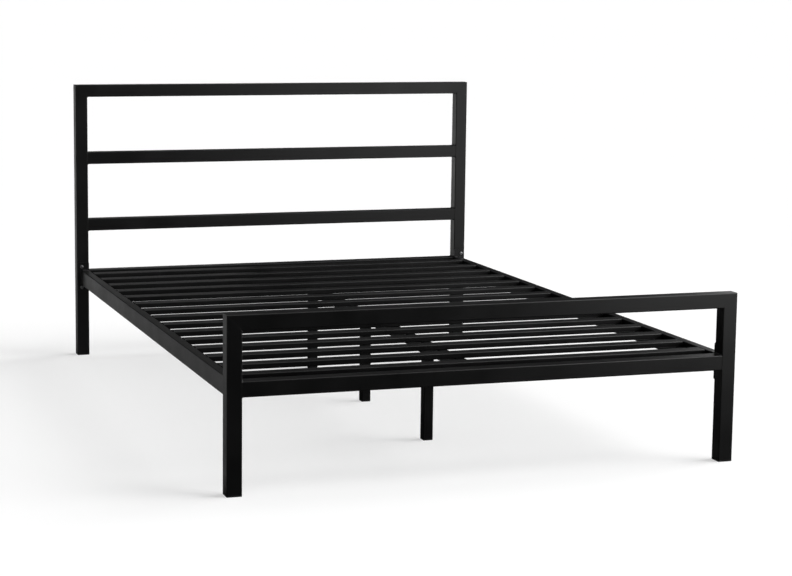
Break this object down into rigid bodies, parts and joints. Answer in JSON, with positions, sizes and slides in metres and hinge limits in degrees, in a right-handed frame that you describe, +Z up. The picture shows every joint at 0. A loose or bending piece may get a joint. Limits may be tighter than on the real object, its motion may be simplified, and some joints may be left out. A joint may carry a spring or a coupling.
{
  "type": "metal bed frame",
  "caption": "Low black metal bed frame with a rectangular open headboard and footboard in square tube, side rails, slatted deck and a centre beam on legs.",
  "frame": {"origin": "on the floor, below the middle of the bed", "axes": "+X across the bed from its left side to its right, seen from the foot looking at the headboard; +Y from the footboard to the headboard; +Z up"},
  "size_m": [1.4, 2.016, 0.914],
  "materials": {
    "black_powder_coat": "fine-textured satin black powder coat on steel",
    "black_plastic": "moulded black plastic with a fine grain",
    "black_zinc_steel": "black zinc plated steel",
    "bright_zinc_steel": "bright zinc plated steel"
  },
  "bodies": {
    "root": {"beam_bolts": "black_zinc_steel", "beam_nuts": "black_zinc_steel", "centre_beam": "black_powder_coat", "foot_beam_hanger": "black_powder_coat", "foot_centre_leg": "black_powder_coat", "foot_leg_plate": "black_powder_coat", "footboard_left_post": "black_powder_coat", "footboard_lower_rail": "black_powder_coat", "footboard_right_post": "black_powder_coat", "footboard_top_rail": "black_powder_coat", "head_beam_hanger": "black_powder_coat", "head_centre_leg": "black_powder_coat", "head_leg_plate": "black_powder_coat", "headboard_deck_rail": "black_powder_coat", "headboard_left_post": "black_powder_coat", "headboard_lower_rail": "black_powder_coat", "headboard_middle_rail": "black_powder_coat", "headboard_right_post": "black_powder_coat", "headboard_top_rail": "black_powder_coat", "left_rail_foot_plate": "black_powder_coat", "left_rail_head_plate": "black_powder_coat", "left_side_rail": "black_powder_coat", "left_slat_ledge": "black_powder_coat", "leg_bolts": "black_zinc_steel", "leg_glides": "black_plastic", "leg_weld_nuts": "bright_zinc_steel", "middle_centre_leg": "black_powder_coat", "middle_leg_plate": "black_powder_coat", "post_glides": "black_plastic", "rail_bolts": "black_zinc_steel", "rail_washers": "black_zinc_steel", "rail_weld_nuts": "bright_zinc_steel", "right_rail_foot_plate": "black_powder_coat", "right_rail_head_plate": "black_powder_coat", "right_side_rail": "black_powder_coat", "right_slat_ledge": "black_powder_coat", "slat_01": "black_powder_coat", "slat_02": "black_powder_coat", "slat_03": "black_powder_coat", "slat_04": "black_powder_coat", "slat_05": "black_powder_coat", "slat_06": "black_powder_coat", "slat_07": "black_powder_coat", "slat_08": "black_powder_coat", "slat_09": "black_powder_coat", "slat_10": "black_powder_coat", "slat_11": "black_powder_coat", "slat_12": "black_powder_coat", "slat_13": "black_powder_coat", "slat_14": "black_powder_coat", "slat_15": "black_powder_coat", "slat_end_caps": "black_plastic", "slat_screws": "bright_zinc_steel"}
  },
  "joints": []
}
